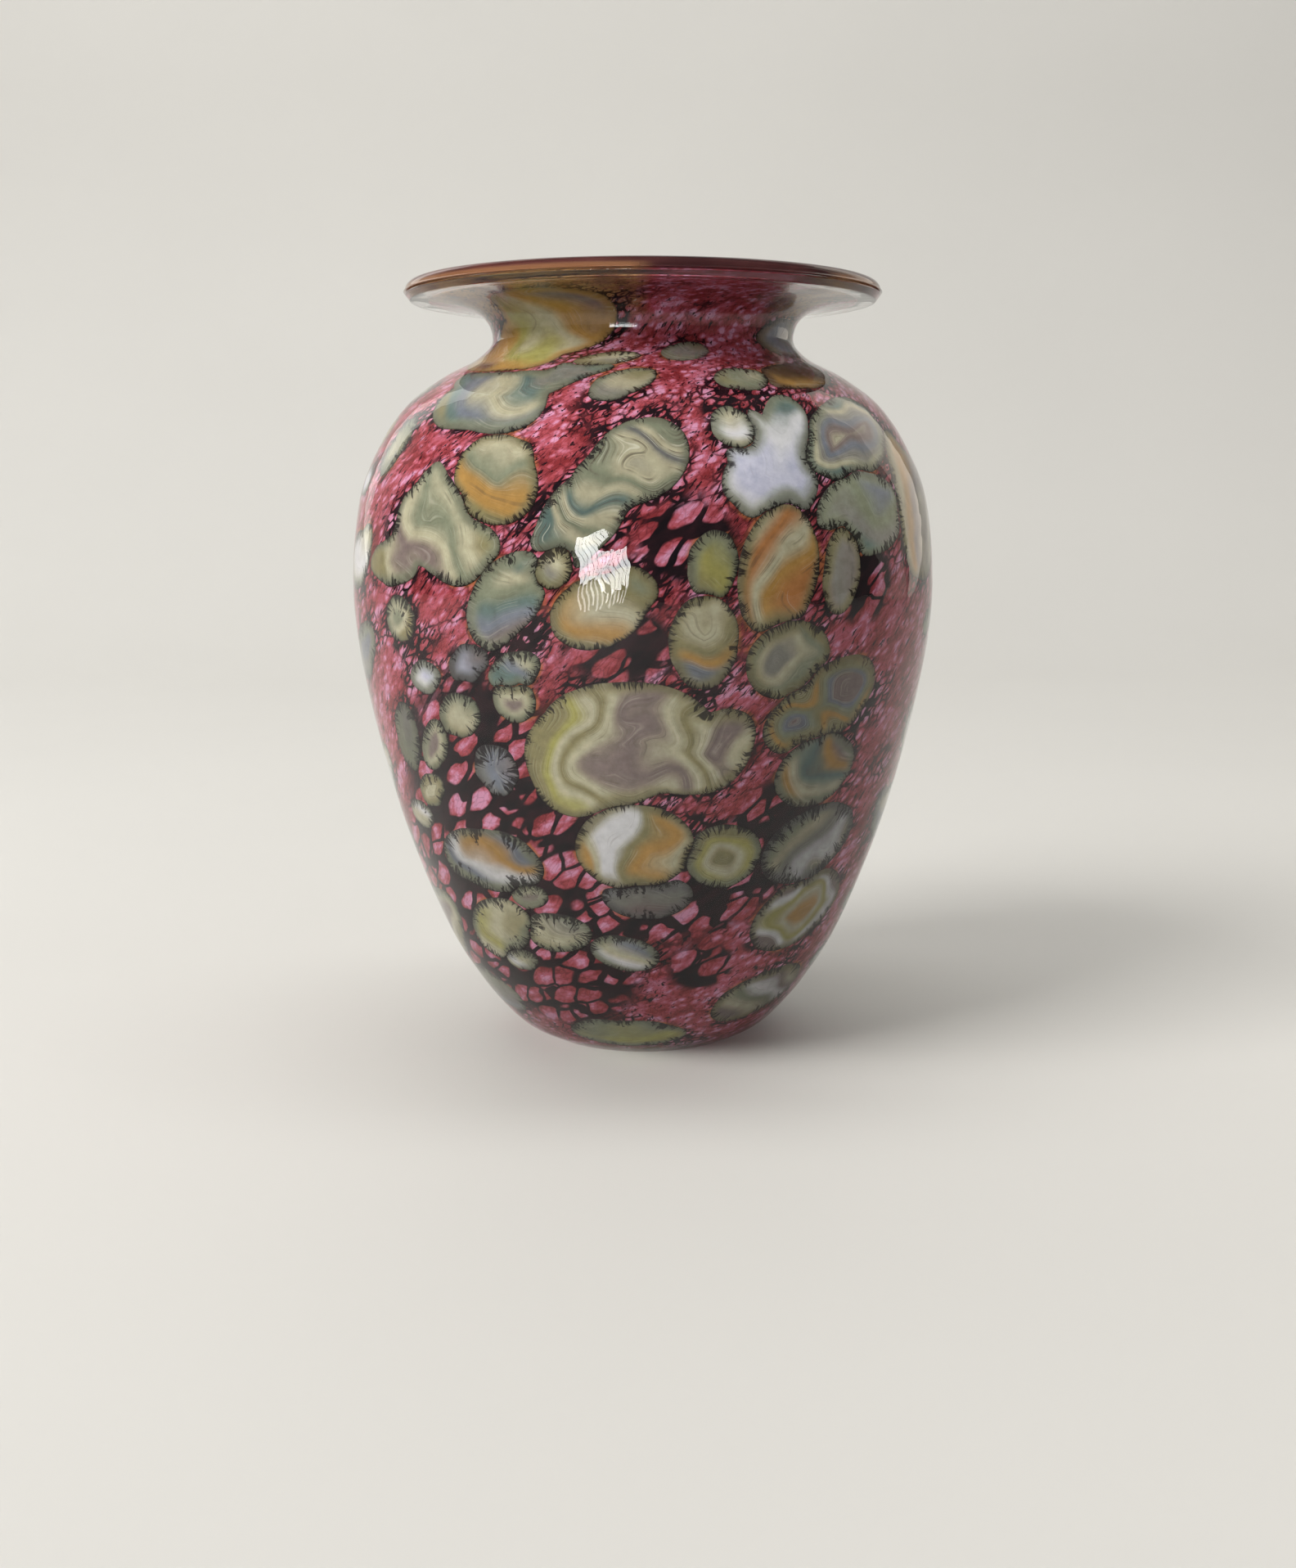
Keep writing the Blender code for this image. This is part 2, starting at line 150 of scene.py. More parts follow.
class Wall:
    """The wall as smooth rows from foot to lip: the casing's inner face and the CAD ground's outer face."""

    def __init__(self):
        stations = np.hstack([CASING[-STATIONS:][::-1], GROUND[:STATIONS]])
        foot = [stations[0] + (stations[1] - stations[0]) * share for share in (0, 0.25, 0.5, 0.75)]
        foot += [stations[1], 0.5 * (stations[1] + stations[2]), stations[2]]
        foot += [0.5 * (stations[2] + stations[FOOT_EDGE])]
        rows = np.vstack([foot, smooth_curve(stations[FOOT_EDGE:], 10)])
        bed = self.blend(rows, BED)
        steps = np.hypot(*np.diff(bed, axis=0).T)
        travel = np.concatenate([[0.0], np.cumsum(steps)])
        count = int(travel[-1] / ROW_STEP) + 1
        self.travel = np.linspace(0, travel[-1], count)
        self.rows = np.stack([np.interp(self.travel, travel, column) for column in rows.T], 1)
        self.bed = self.blend(self.rows, BED)

    @staticmethod
    def blend(rows, share):
        return rows[:, :2] * (1 - share) + rows[:, 2:] * share

    def level(self, travel, share):
        """Radius and height at a travel; share 0 is the casing's inner face, 1 the CAD ground."""
        inner_radius, inner_height, outer_radius, outer_height = (
            np.interp(travel, self.travel, column) for column in self.rows.T)
        return (inner_radius + (outer_radius - inner_radius) * share,
                inner_height + (outer_height - inner_height) * share)

    def travel_at(self, height):
        rising = self.bed[:, 0] > 20
        return np.interp(height, self.bed[rising, 1], self.travel[rising])

    def to_wall(self, points):
        """Azimuth, travel and share of points given in millimetres."""
        azimuth = np.arctan2(points[:, 0], -points[:, 1])
        flat = np.stack([np.hypot(points[:, 0], points[:, 1]), points[:, 2]], 1)
        start, end = self.rows[:, :2], self.rows[:, 2:]
        across = end - start
        share = (((flat[:, None] - start) * across).sum(-1) / (across ** 2).sum(-1)).clip(-0.5, 1.5)
        miss = np.linalg.norm(flat[:, None] - start - across * share[..., None], axis=-1)
        nearest = miss.argmin(1)
        return azimuth, self.travel[nearest], share[np.arange(len(flat)), nearest]


WALL = Wall()


def turned_mesh(name, profile, around, closed=False):
    """A turned mesh from (radius, height) rows; a row on the axis becomes one point."""
    verts, rings = [], []
    angles = np.linspace(0, 2 * math.pi, around, endpoint=False)
    for radius, height in profile:
        if radius < 0.01:
            rings.append([len(verts)])
            verts.append((0.0, 0.0, height * MM))
            continue
        rings.append(list(range(len(verts), len(verts) + around)))
        verts.extend(zip(radius * np.sin(angles) * MM, -radius * np.cos(angles) * MM,
                         np.full(around, height * MM)))
    faces = []
    pairs = list(zip(rings, rings[1:]))
    if closed:
        pairs.append((rings[-1], rings[0]))
    for low, high in pairs:
        for index in range(around):
            after = (index + 1) % around
            if len(low) == 1:
                faces.append((low[0], high[after], high[index]))
            elif len(high) == 1:
                faces.append((low[index], low[after], high[0]))
            else:
                faces.append((low[index], low[after], high[after], high[index]))
    mesh = bpy.data.meshes.new(name)
    mesh.from_pydata(verts, [], faces)
    work = bmesh.new()
    work.from_mesh(mesh)
    bmesh.ops.recalc_face_normals(work, faces=work.faces)
    work.to_mesh(mesh)
    work.free()
    mesh.shade_smooth()
    return mesh


def add_piece(name, mesh, material, slot, *nodes):
    piece = bpy.data.objects.new(name, mesh)
    bpy.context.scene.collection.objects.link(piece)
    mesh.materials.append(material)
    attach(piece, "root")
    if nodes:
        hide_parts(*nodes)
    return piece


def store(mesh, name, values):
    """Keep a number or a vector for every vertex, for the materials to read."""
    values = np.asarray(values, np.float32)
    kind = "FLOAT" if values.ndim == 1 else "FLOAT_VECTOR"
    layer = mesh.attributes.new(name, kind, "POINT")
    layer.data.foreach_set("value" if values.ndim == 1 else "vector", values.ravel())


def vertex_places(mesh):
    places = np.empty(len(mesh.vertices) * 3, np.float32)
    mesh.vertices.foreach_get("co", places)
    return places.reshape(-1, 3) / MM


# ---------------------------------------------------------------- materials

class Shader:
    """A material's node graph; every helper returns an output socket."""

    def __init__(self, name):
        self.material = bpy.data.materials.new(name)
        self.material.use_nodes = True
        self.tree = self.material.node_tree
        self.surface = self.tree.nodes["Principled BSDF"]

    def node(self, kind, **settings):
        made = self.tree.nodes.new("ShaderNode" + kind)
        for key, value in settings.items():
            setattr(made, key, value)
        return made

    def feed(self, socket, value):
        if isinstance(value, bpy.types.NodeSocket):
            self.tree.links.new(value, socket)
        elif isinstance(value, tuple) and len(value) == 3 and socket.type == "RGBA":
            socket.default_value = (*value, 1.0)
        else:
            socket.default_value = value

    def set(self, **values):
        for key, value in values.items():
            self.feed(self.surface.inputs[key.replace("_", " ")], value)

    def attribute(self, name, output="Vector"):
        return self.node("Attribute", attribute_name=name).outputs[output]

    def math(self, operation, first, second=0.0, third=0.0, clamp=False):
        made = self.node("Math", operation=operation, use_clamp=clamp)
        for socket, value in zip(made.inputs, (first, second, third)):
            self.feed(socket, value)
        return made.outputs[0]

    def vector(self, operation, first, second=(0.0, 0.0, 0.0), scale=None):
        made = self.node("VectorMath", operation=operation)
        self.feed(made.inputs[0], first)
        if scale is None:
            self.feed(made.inputs[1], second)
        else:
            self.feed(made.inputs["Scale"], scale)
        return made.outputs[0]

    def noise(self, vector, scale, detail=2.0, roughness=0.5, colour=False):
        made = self.node("TexNoise")
        self.feed(made.inputs["Vector"], vector)
        made.inputs["Scale"].default_value = scale
        made.inputs["Detail"].default_value = detail
        made.inputs["Roughness"].default_value = roughness
        return made.outputs["Color" if colour else "Fac"]

    def cells(self, vector, scale, feature="DISTANCE_TO_EDGE"):
        made = self.node("TexVoronoi", feature=feature)
        self.feed(made.inputs["Vector"], vector)
        made.inputs["Scale"].default_value = scale
        return made.outputs["Distance"]

    def split(self, vector):
        made = self.node("SeparateXYZ")
        self.feed(made.inputs[0], vector)
        return made.outputs

    def join(self, *parts):
        made = self.node("CombineXYZ")
        for socket, value in zip(made.inputs, parts):
            self.feed(socket, value)
        return made.outputs[0]

    def step(self, value, low, high, start=0.0, end=1.0):
        """A smooth step from start to end as the value goes from low to high."""
        made = self.node("MapRange", interpolation_type="SMOOTHSTEP")
        for socket, item in zip(made.inputs, (value, low, high, start, end)):
            self.feed(socket, item)
        return made.outputs[0]

    def ramp(self, value, stops, interpolation="LINEAR"):
        made = self.node("ValToRGB")
        self.feed(made.inputs[0], value)
        made.color_ramp.interpolation = interpolation
        elements = made.color_ramp.elements
        while len(elements) < len(stops):
            elements.new(1.0)
        for element, (place, colour) in zip(elements, stops):
            element.position = place
            element.color = (*colour, 1.0)
        return made.outputs[0]

    def mix(self, factor, first, second, blend="MIX"):
        made = self.node("Mix", data_type="RGBA", blend_type=blend, clamp_factor=True)
        self.feed(made.inputs[0], factor)
        self.feed(made.inputs[6], first)
        self.feed(made.inputs[7], second)
        return made.outputs[2]

    def warp(self, vector, scale, amount, detail=1.0):
        """The vector moved about by a smooth noise, amount in the vector's own units."""
        push = self.vector("SUBTRACT", self.noise(vector, scale, detail, colour=True), (0.5, 0.5, 0.5))
        return self.vector("ADD", vector, self.vector("SCALE", push, scale=2.0 * amount))

    def bump(self, height, strength, distance):
        made = self.node("Bump")
        made.inputs["Strength"].default_value = strength
        made.inputs["Distance"].default_value = distance
        self.feed(made.inputs["Height"], height)
        self.feed(self.surface.inputs["Normal"], made.outputs[0])


# ---------------------------------------------------------------- the ruby ground

POOLS = [(-43, 70, 8), (-36, 65, 7), (-31, 86, 5), (29, 55, 6), (27, 48, 5), (8, 37, 7), (18, 39, 6),
         (-50, 42, 6), (-45, 46, 4), (-8, 24, 4), (8, 126, 7), (2, 117, 5), (46, 116, 5), (40, 109, 4),
         (-21, 103, 5), (35, 64, 5), (-37, 92, 6), (8, 88, 4), (-27, 47, 3)]
AMBER_ARCS = [(-42, 42), (62, 14), (130, 22), (-160, 24)]      # azimuth and half width, degrees
LIP_START = 169.5
TWIST = 0.0123                               # how far the pattern leans, radians per mm of travel
BOLD_AREAS = [(-34, 60, 26, 34), (-28, 22, 24, 14), (4, 44, 26, 9), (31, 60, 12, 12), (8, 122, 9, 8),
              (45, 113, 9, 9), (-4, 101, 9, 7), (-2, 84, 7, 6), (18, 26, 9, 6), (-62, 36, 14, 20),
              (104, 60, 22, 26), (150, 96, 20, 18), (-168, 46, 24, 20), (-128, 88, 18, 22),
              (-98, 40, 16, 16), (124, 24, 22, 10), (-150, 122, 14, 12)]


def seamless(azimuth, travel, radius, squash):
    """Coordinates in mm that meet all round the wall, lean with the twist and stretch along it."""
    turn = azimuth - TWIST * travel
    return np.stack([radius * np.sin(turn), -radius * np.cos(turn), travel * squash], 1)


def ground_mesh():
    bed = WALL.bed.copy()
    bed[:3, 0] = np.linspace(0, bed[3, 0], 4)[:3]
    inner = GROUND[STATIONS:]
    mesh = turned_mesh("ruby_ground", np.vstack([bed, inner]), GROUND_AROUND)
    azimuth, travel = WALL.to_wall(vertex_places(mesh))[:2]
    return mesh, azimuth, travel


def amber_share(turn):
    """How amber the lip's underside is round the vase, for azimuths in degrees."""
    share = np.zeros(len(turn))
    for middle, half in AMBER_ARCS:
        share = np.maximum(share, np.clip((half - np.abs((turn - middle + 180) % 360 - 180)) / 5 + 0.5, 0, 1))
    return share


def ground_masks(azimuth, travel, outlines):
    """How black, how coarse and how amber the ground is, and how near a chip, for each vertex."""
    radius = WALL.level(travel, BED)[0]
    black = np.zeros(len(azimuth))
    for place, height, size in POOLS:
        aside = (azimuth - math.radians(place)) * radius
        along = travel - WALL.travel_at(height)
        black = np.maximum(black, np.exp(-(aside ** 2 + along ** 2) / (0.6 * size ** 2)))
    coarse = np.zeros(len(azimuth))
    for place, height, half_turn, half_height in BOLD_AREAS:
        aside = (azimuth - math.radians(place) + math.pi) % (2 * math.pi) - math.pi
        along = travel - WALL.travel_at(height)
        coarse = coarse + np.exp(2.5 * (1 - np.hypot(aside / math.radians(half_turn), along / half_height)))
    coarse = coarse / (1.0 + coarse)
    turn = np.degrees((azimuth + math.pi) % (2 * math.pi) - math.pi)
    lip = np.clip((travel - WALL.travel_at(LIP_START)) / 5, 0, 1) * amber_share(turn)
    near = np.full(len(azimuth), NEAR_LIMIT)
    for outline in outlines:
        near = np.minimum(near, outline.clearance(azimuth, travel))
    return np.stack([black, coarse, lip], 1), near


def ground_material():
    """Ruby pink glass under a black net: bold round cells low on the left, fine specks and streaks above,
    with a painted highlight that lightens the middle of each cell.
    """
    shade = Shader("ruby_ground")
    cell = shade.attribute("cell")
    streak = shade.attribute("streak")
    near = shade.attribute("near", "Fac")
    black, coarse, lip = shade.split(shade.attribute("mask"))
    patch = shade.noise(cell, 0.07, 2.0)
    halo = shade.step(near, 0.2, 3.5, 1.0, 0.0)
    dense = shade.step(patch, 0.42, 0.70)
    press = shade.math("MULTIPLY_ADD", dense, 0.40, shade.math("MULTIPLY", halo, 0.30))
    press = shade.math("MULTIPLY_ADD", black, 0.75, press)

    def net(vector, scale, thin, thick, open_reach, soft):
        """Black along the cells' borders and in their corners; returns it and the cells' middles."""
        width = shade.math("MULTIPLY_ADD", press, thick, thin)
        border = shade.step(shade.math("SUBTRACT", shade.cells(vector, scale), width), -soft, soft, 1.0, 0.0)
        away = shade.cells(vector, scale, "F1")
        reach = shade.math("MULTIPLY_ADD", press, -0.24, open_reach)
        corner = shade.step(shade.math("SUBTRACT", away, reach), -0.05, 0.05)
        return shade.math("MAXIMUM", border, corner), away

    bold, bold_away = net(shade.warp(cell, 0.22, 1.3, 1.0), 0.170, 0.062, 0.13, 0.62, 0.020)
    small, small_away = net(shade.warp(cell, 0.35, 0.8, 1.0), 0.44, 0.020, 0.20, 0.80, 0.040)
    swept = shade.warp(streak, 0.30, 1.0, 2.0)
    speck = shade.noise(swept, 1.05, 3.0, 0.62)
    specks = shade.step(shade.math("MULTIPLY_ADD", press, 0.13, speck), 0.60, 0.65)
    calm = shade.math("MULTIPLY", small, shade.step(press, 0.14, 0.46, 0.06, 1.0))
    calm = shade.math("MAXIMUM", calm, specks)
    dark = shade.mix(shade.step(coarse, 0.40, 0.60), calm, bold)

    tone = shade.noise(shade.warp(cell, 0.12, 3.0), 0.16, 5.0, 0.70)
    # painted highlight: the tone is raised towards the middle of each cell
    painted_cell_highlight = shade.step(shade.mix(coarse, small_away, bold_away), 0.08, 0.55, 0.17, -0.04)
    tone = shade.math("ADD", tone, painted_cell_highlight)
    pink = shade.ramp(tone, [(0.36, (0.190, 0.024, 0.028)), (0.46, (0.320, 0.055, 0.068)),
                             (0.55, (0.430, 0.105, 0.150)), (0.66, (0.560, 0.260, 0.390))])
    amber = shade.ramp(shade.noise(streak, 0.09, 4.0, 0.6),
                       [(0.36, (0.10, 0.035, 0.035)), (0.47, (0.26, 0.12, 0.06)), (0.60, (0.42, 0.25, 0.10))])
    colour = shade.mix(lip, pink, amber)
    fine = shade.cells(shade.mix(0.5, swept, shade.warp(cell, 0.5, 0.5, 2.0)), 0.75)
    cracks = shade.step(fine, 0.0, 0.09, 0.6, 0.0)
    crazing = shade.math("MULTIPLY", cracks, shade.step(tone, 0.40, 0.56, 1.0, 0.5))
    colour = shade.mix(crazing, colour, (0.070, 0.012, 0.018))
    fringe = shade.step(near, 0.0, 0.9, 0.9, 0.0)
    rust = shade.math("MULTIPLY", fringe, shade.step(patch, 0.38, 0.46, 1.0, 0.0))
    colour = shade.mix(rust, colour, (0.36, 0.12, 0.045))
    ink = shade.ramp(shade.noise(cell, 0.3, 3.0),
                     [(0.35, (0.006, 0.004, 0.006)), (0.7, (0.022, 0.008, 0.011))])
    shade.set(Base_Color=shade.mix(dark, colour, ink), Roughness=0.5, Specular_IOR_Level=0.0)
    shade.bump(dark, 0.25, 0.0003)
    return shade.material


# ---------------------------------------------------------------- the glass chips

class Outline:
    """A chip's smooth closed edge on the wall: its reach in mm along rays from its own middle."""

    def __init__(self, azimuth0, travel0):
        self.azimuth0 = azimuth0
        self.travel0 = travel0
        self.radius = float(WALL.level(travel0, BED)[0])

    def from_points(self, points):
        """Take the reach along each ray from closed points that circle the middle once."""
        turn = np.arctan2(points[:, 1], points[:, 0])
        order = turn.argsort()
        self.reach = np.interp(RAYS, turn[order], np.hypot(*points[order].T), period=2 * math.pi)
        return self

    def clearance(self, azimuth, travel):
        """About how far outside the edge places on the wall are, in mm."""
        x = ((azimuth - self.azimuth0 + math.pi) % (2 * math.pi) - math.pi) * self.radius
        y = travel - self.travel0
        reach = np.interp(np.arctan2(y, x), RAYS, self.reach, period=2 * math.pi)
        return SLANT * (np.hypot(x, y) - reach)

    def spread(self, lobes, grow, others):
        """Grow towards the lobes and by a margin all round, but stay clear of the other chips."""
        steps = np.arange(0.0, WIDEST_REACH, REACH_STEP)
        x, y = np.outer(steps, np.cos(RAYS)), np.outer(steps, np.sin(RAYS))
        inside = steps[:, None] < self.reach + grow
        inside |= lobe_strength(x, y, lobes) >= 1.0 if lobes else False
        wanted = (inside * steps[:, None]).max(0)
        azimuth, travel = self.azimuth0 + x / self.radius, self.travel0 + y
        free = np.full(x.shape, FAR)
        for other in others:
            free = np.minimum(free, other.clearance(azimuth, travel))
        blocked = (free < CHIP_GAP) & (steps[:, None] > KEPT_SHARE * self.reach)
        limit = np.where(blocked.any(0), steps[blocked.argmax(0)], FAR)
        reach = np.minimum(wanted, limit)
        kernel = np.exp(-0.5 * (np.arange(-SMOOTH_RAYS, SMOOTH_RAYS + 1) / SMOOTH_WIDTH) ** 2)
        padded = np.concatenate([reach[-SMOOTH_RAYS:], reach, reach[:SMOOTH_RAYS]])
        soft = np.convolve(padded, kernel / kernel.sum(), "valid")
        self.reach = np.minimum(soft, reach + 0.15)

    def trace(self, spacing, random, amount):
        """Even points along the edge, with the small waves that hot glass leaves."""
        push = sum(random.normal() / waves ** 0.7 * np.sin(waves * RAYS + random.uniform(0, 2 * math.pi))
                   for waves in (3, 5, 8, 13, 21))
        reach = self.reach + amount * push
        points = np.stack([reach * np.cos(RAYS), reach * np.sin(RAYS)], 1)
        closed = np.vstack([points, points[:1]])
        run = np.concatenate([[0.0], np.cumsum(np.hypot(*np.diff(closed, axis=0).T))])
        count = max(40, int(run[-1] / spacing))
        places = np.linspace(0, run[-1], count, endpoint=False)
        self.length = run[-1]
        self.points = np.stack([np.interp(places, run, column) for column in closed.T], 1)


def lobe_strength(x, y, lobes):
    """One or more inside the joined ovals, each (x, y, half length, half width, tilt)."""
    strength = 0.0
    for centre_x, centre_y, half_length, half_width, tilt in lobes:
        turn = math.radians(tilt)
        along = (x - centre_x) * math.cos(turn) + (y - centre_y) * math.sin(turn)
        aside = (y - centre_y) * math.cos(turn) - (x - centre_x) * math.sin(turn)
        strength = strength + np.exp(7 * (1 - np.hypot(along / half_length, aside / half_width)))
    return strength


def cad_outline(name):
    """The edge of a CAD chip's outer skin."""
    mesh = NODES[name].data
    azimuth, travel, share = WALL.to_wall(vertex_places(mesh))
    middle = azimuth[np.abs(azimuth - np.median(azimuth)).argmin()]
    azimuth = (azimuth - middle + math.pi) % (2 * math.pi) - math.pi + middle
    keys = {}
    weld = [keys.setdefault(tuple(np.round(vertex.co, 6)), vertex.index) for vertex in mesh.vertices]
    follows = {}
    for face in mesh.polygons:
        corners = [weld[index] for index in face.vertices]
        if all(share[index] < 0.55 for index in corners):
            for start, end in zip(corners, corners[1:] + corners[:1]):
                if follows.get(end) and start in follows[end]:
                    follows[end].discard(start)
                else:
                    follows.setdefault(start, set()).add(end)
    start = next(key for key, value in follows.items() if value)
    loop = [start]
    while True:
        step = next(iter(follows[loop[-1]]))
        if step == start:
            break
        loop.append(step)
    azimuth, travel = azimuth[loop], travel[loop]
    outline = Outline(0.5 * (azimuth.min() + azimuth.max()), 0.5 * (travel.min() + travel.max()))
    points = np.stack([(azimuth - outline.azimuth0) * outline.radius, travel - outline.travel0], 1)
    return outline.from_points(smooth_curve(points, 8, closed=True))


def lobed_outline(place, height, lobes):
    """The edge of a chip that has no CAD solid of its own."""
    outline = Outline(math.radians(place), float(WALL.travel_at(height)))
    steps = np.arange(0.0, 20.0, 0.1)
    inside = lobe_strength(np.outer(steps, np.cos(RAYS)), np.outer(steps, np.sin(RAYS)), lobes) >= 1.0
    outline.reach = steps[inside.sum(0)]
    return outline


def scattered_chips(outlines, random):
    """Small chips for the free wall on the sides and the back, each clear of the ones before it."""
    colours = [slot.removeprefix("chip_glass_") for slot in LOOK_BY_SLOT]
    chips = []
    for half in np.linspace(9.5, 2.6, SCATTER_TRIES):
        place, height = random.uniform(*SCATTER_TURN), random.uniform(*SCATTER_HEIGHT)
        lobes = [(0, 0, half, half * random.uniform(0.6, 0.85), random.uniform(-40, 80))]
        if half > 4:
            lobes.append((0.7 * half, 0.4 * half, 0.6 * half, 0.45 * half, random.uniform(-40, 80)))
        outline = lobed_outline(place, height, lobes)
        azimuth = outline.azimuth0 + outline.reach * np.cos(RAYS) / outline.radius
        travel = outline.travel0 + outline.reach * np.sin(RAYS)
        gaps = [other.clearance(azimuth, travel).min() for other in outlines]
        if min(gaps) > SCATTER_GAP:
            outlines.append(outline)
            chips.append((outline, "small_%d" % len(chips), colours[int(random.integers(len(colours)))]))
    return chips


def chip_mesh(name, outline, seed):
    """A closed slab with rounded rims that lies in the wall and follows its curve."""
    edge = outline.points
    count = len(edge)
    reach = np.linalg.norm(edge, axis=1).max()
    inner = np.linspace(0, 1 - RIM_START / reach, max(3, int(reach / RING_STEP)))
    shares = np.concatenate([inner, 1 - np.array(RIM_RINGS) / reach])
    flat = np.concatenate([edge[:1] * 0] + [edge * share for share in shares[1:]])
    gaps = np.linalg.norm(flat[:, None] - edge, axis=-1)
    nearest = gaps.argmin(1)
    depth = gaps[np.arange(len(flat)), nearest]
    depth[-count:] = 0.0
    rim = min(1.0, 0.35 * reach)
    crown = np.sqrt(1 - (1 - np.clip(depth / rim, 0, 1)) ** 2)
    half = 0.5 * (CHIP_ROOT - CHIP_TOP)
    middle = CHIP_TOP + half
    azimuth = outline.azimuth0 + flat[:, 0] / outline.radius
    travel = outline.travel0 + flat[:, 1]

    def skin(side):
        radius, height = WALL.level(travel, middle + side * half * crown)
        return np.stack([radius * np.sin(azimuth), -radius * np.cos(azimuth), height], 1) * MM

    top, under = skin(-1), skin(1)[:-count]
    rings = len(shares) - 1
    outer = len(top) - count

    def index(ring, place):
        return 0 if ring == 0 else 1 + (ring - 1) * count + place % count

    faces = []
    for ring in range(rings):
        for place in range(count):
            corners = [index(ring, place), index(ring + 1, place),
                       index(ring + 1, place + 1), index(ring, place + 1)]
            if ring == 0:
                corners = corners[:3]
            faces.append(corners)
            faces.append([corner if corner >= outer else corner + len(top) for corner in reversed(corners)])
    mesh = bpy.data.meshes.new(name)
    mesh.from_pydata(np.vstack([top, under]), [], faces)
    mesh.shade_smooth()
    turn = 2 * math.pi * nearest / count
    wrap = outline.length / (2 * math.pi)
    for label, values in (("depth", depth), ("core", depth / depth.max()),
                          ("edge", np.stack([np.cos(turn) * wrap, np.sin(turn) * wrap, 0 * turn], 1)),
                          ("local", np.stack([flat[:, 0], flat[:, 1], np.full(len(flat), 31.7 * seed)], 1))):
        store(mesh, label, np.concatenate([values, values[:-count]]))
    return mesh


OLIVE = (0.225, 0.205, 0.105)
SAGE = (0.205, 0.225, 0.160)
LIME = (0.330, 0.315, 0.105)
TEAL = (0.110, 0.165, 0.155)
BLUE = (0.165, 0.185, 0.225)
AMBER = (0.390, 0.230, 0.070)
ORANGE = (0.380, 0.170, 0.062)
CREAM = (0.430, 0.410, 0.290)
WHITE = (0.600, 0.610, 0.630)
MAUVE = (0.190, 0.150, 0.143)
LAVENDER = (0.490, 0.510, 0.620)
SLATE = (0.137, 0.144, 0.144)
GREY = (0.215, 0.212, 0.190)
BROWN = (0.110, 0.065, 0.040)
INK = (0.010, 0.007, 0.010)
